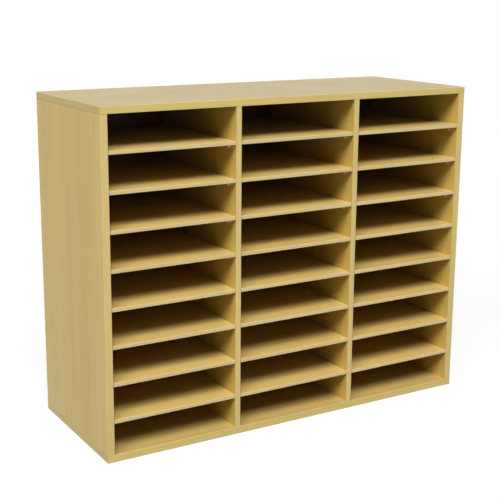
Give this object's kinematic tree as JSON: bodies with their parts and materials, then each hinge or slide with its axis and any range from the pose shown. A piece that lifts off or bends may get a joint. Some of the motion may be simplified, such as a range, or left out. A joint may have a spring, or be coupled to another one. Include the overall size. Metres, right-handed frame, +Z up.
{
  "type": "literature organizer",
  "caption": "Free-standing open-front cabinet of laminated board, with columns of low compartments between loose shelves on pins, for paper kept flat.",
  "frame": {"origin": "middle of the footprint, on the surface that the cabinet stands on", "axes": "+X to the right as seen from the front, +Y from the open front to the back, +Z up"},
  "size_m": [0.8, 0.3, 0.639],
  "materials": {
    "laminated_board": "satin beech-pattern laminate on particle board",
    "edge_band": "satin beech-pattern edge band",
    "back_hardboard": "thin brown hardboard, smooth in front and with a screen pattern behind",
    "dowel_wood": "bare beech",
    "pin_steel": "nickel-plated steel",
    "fixing_steel": "zinc-plated steel"
  },
  "bodies": {
    "cabinet": {"back_nails": "fixing_steel", "back_panel": "back_hardboard", "base_screws": "fixing_steel", "bottom_dowels": "dowel_wood", "bottom_panel": "laminated_board", "bottom_panel_edging": "edge_band", "left_divider": "laminated_board", "left_divider_edging": "edge_band", "left_side_edging": "edge_band", "left_side_panel": "laminated_board", "pins_left_column_left": "pin_steel", "pins_left_column_right": "pin_steel", "pins_middle_column_left": "pin_steel", "pins_middle_column_right": "pin_steel", "pins_right_column_left": "pin_steel", "pins_right_column_right": "pin_steel", "right_divider": "laminated_board", "right_divider_edging": "edge_band", "right_side_edging": "edge_band", "right_side_panel": "laminated_board", "top_dowels": "dowel_wood", "top_panel": "laminated_board", "top_panel_edging": "edge_band"},
    "shelf_left_1": {"shelf_left_1": "laminated_board"},
    "shelf_left_2": {"shelf_left_2": "laminated_board"},
    "shelf_left_3": {"shelf_left_3": "laminated_board"},
    "shelf_left_4": {"shelf_left_4": "laminated_board"},
    "shelf_left_5": {"shelf_left_5": "laminated_board"},
    "shelf_left_6": {"shelf_left_6": "laminated_board"},
    "shelf_left_7": {"shelf_left_7": "laminated_board"},
    "shelf_left_8": {"shelf_left_8": "laminated_board"},
    "shelf_middle_1": {"shelf_middle_1": "laminated_board"},
    "shelf_middle_2": {"shelf_middle_2": "laminated_board"},
    "shelf_middle_3": {"shelf_middle_3": "laminated_board"},
    "shelf_middle_4": {"shelf_middle_4": "laminated_board"},
    "shelf_middle_5": {"shelf_middle_5": "laminated_board"},
    "shelf_middle_6": {"shelf_middle_6": "laminated_board"},
    "shelf_middle_7": {"shelf_middle_7": "laminated_board"},
    "shelf_middle_8": {"shelf_middle_8": "laminated_board"},
    "shelf_right_1": {"shelf_right_1": "laminated_board"},
    "shelf_right_2": {"shelf_right_2": "laminated_board"},
    "shelf_right_3": {"shelf_right_3": "laminated_board"},
    "shelf_right_4": {"shelf_right_4": "laminated_board"},
    "shelf_right_5": {"shelf_right_5": "laminated_board"},
    "shelf_right_6": {"shelf_right_6": "laminated_board"},
    "shelf_right_7": {"shelf_right_7": "laminated_board"},
    "shelf_right_8": {"shelf_right_8": "laminated_board"}
  },
  "joints": [
    {"name": "shelf_left_1_draw_out", "type": "slide", "parent": "cabinet", "child": "shelf_left_1", "axis": [0, -1, 0], "range_m": [0, 0.3]},
    {"name": "shelf_left_2_draw_out", "type": "slide", "parent": "cabinet", "child": "shelf_left_2", "axis": [0, -1, 0], "range_m": [0, 0.3]},
    {"name": "shelf_left_3_draw_out", "type": "slide", "parent": "cabinet", "child": "shelf_left_3", "axis": [0, -1, 0], "range_m": [0, 0.3]},
    {"name": "shelf_left_4_draw_out", "type": "slide", "parent": "cabinet", "child": "shelf_left_4", "axis": [0, -1, 0], "range_m": [0, 0.3]},
    {"name": "shelf_left_5_draw_out", "type": "slide", "parent": "cabinet", "child": "shelf_left_5", "axis": [0, -1, 0], "range_m": [0, 0.3]},
    {"name": "shelf_left_6_draw_out", "type": "slide", "parent": "cabinet", "child": "shelf_left_6", "axis": [0, -1, 0], "range_m": [0, 0.3]},
    {"name": "shelf_left_7_draw_out", "type": "slide", "parent": "cabinet", "child": "shelf_left_7", "axis": [0, -1, 0], "range_m": [0, 0.3]},
    {"name": "shelf_left_8_draw_out", "type": "slide", "parent": "cabinet", "child": "shelf_left_8", "axis": [0, -1, 0], "range_m": [0, 0.3]},
    {"name": "shelf_middle_1_draw_out", "type": "slide", "parent": "cabinet", "child": "shelf_middle_1", "axis": [0, -1, 0], "range_m": [0, 0.3]},
    {"name": "shelf_middle_2_draw_out", "type": "slide", "parent": "cabinet", "child": "shelf_middle_2", "axis": [0, -1, 0], "range_m": [0, 0.3]},
    {"name": "shelf_middle_3_draw_out", "type": "slide", "parent": "cabinet", "child": "shelf_middle_3", "axis": [0, -1, 0], "range_m": [0, 0.3]},
    {"name": "shelf_middle_4_draw_out", "type": "slide", "parent": "cabinet", "child": "shelf_middle_4", "axis": [0, -1, 0], "range_m": [0, 0.3]},
    {"name": "shelf_middle_5_draw_out", "type": "slide", "parent": "cabinet", "child": "shelf_middle_5", "axis": [0, -1, 0], "range_m": [0, 0.3]},
    {"name": "shelf_middle_6_draw_out", "type": "slide", "parent": "cabinet", "child": "shelf_middle_6", "axis": [0, -1, 0], "range_m": [0, 0.3]},
    {"name": "shelf_middle_7_draw_out", "type": "slide", "parent": "cabinet", "child": "shelf_middle_7", "axis": [0, -1, 0], "range_m": [0, 0.3]},
    {"name": "shelf_middle_8_draw_out", "type": "slide", "parent": "cabinet", "child": "shelf_middle_8", "axis": [0, -1, 0], "range_m": [0, 0.3]},
    {"name": "shelf_right_1_draw_out", "type": "slide", "parent": "cabinet", "child": "shelf_right_1", "axis": [0, -1, 0], "range_m": [0, 0.3]},
    {"name": "shelf_right_2_draw_out", "type": "slide", "parent": "cabinet", "child": "shelf_right_2", "axis": [0, -1, 0], "range_m": [0, 0.3]},
    {"name": "shelf_right_3_draw_out", "type": "slide", "parent": "cabinet", "child": "shelf_right_3", "axis": [0, -1, 0], "range_m": [0, 0.3]},
    {"name": "shelf_right_4_draw_out", "type": "slide", "parent": "cabinet", "child": "shelf_right_4", "axis": [0, -1, 0], "range_m": [0, 0.3]},
    {"name": "shelf_right_5_draw_out", "type": "slide", "parent": "cabinet", "child": "shelf_right_5", "axis": [0, -1, 0], "range_m": [0, 0.3]},
    {"name": "shelf_right_6_draw_out", "type": "slide", "parent": "cabinet", "child": "shelf_right_6", "axis": [0, -1, 0], "range_m": [0, 0.3]},
    {"name": "shelf_right_7_draw_out", "type": "slide", "parent": "cabinet", "child": "shelf_right_7", "axis": [0, -1, 0], "range_m": [0, 0.3]},
    {"name": "shelf_right_8_draw_out", "type": "slide", "parent": "cabinet", "child": "shelf_right_8", "axis": [0, -1, 0], "range_m": [0, 0.3]}
  ]
}
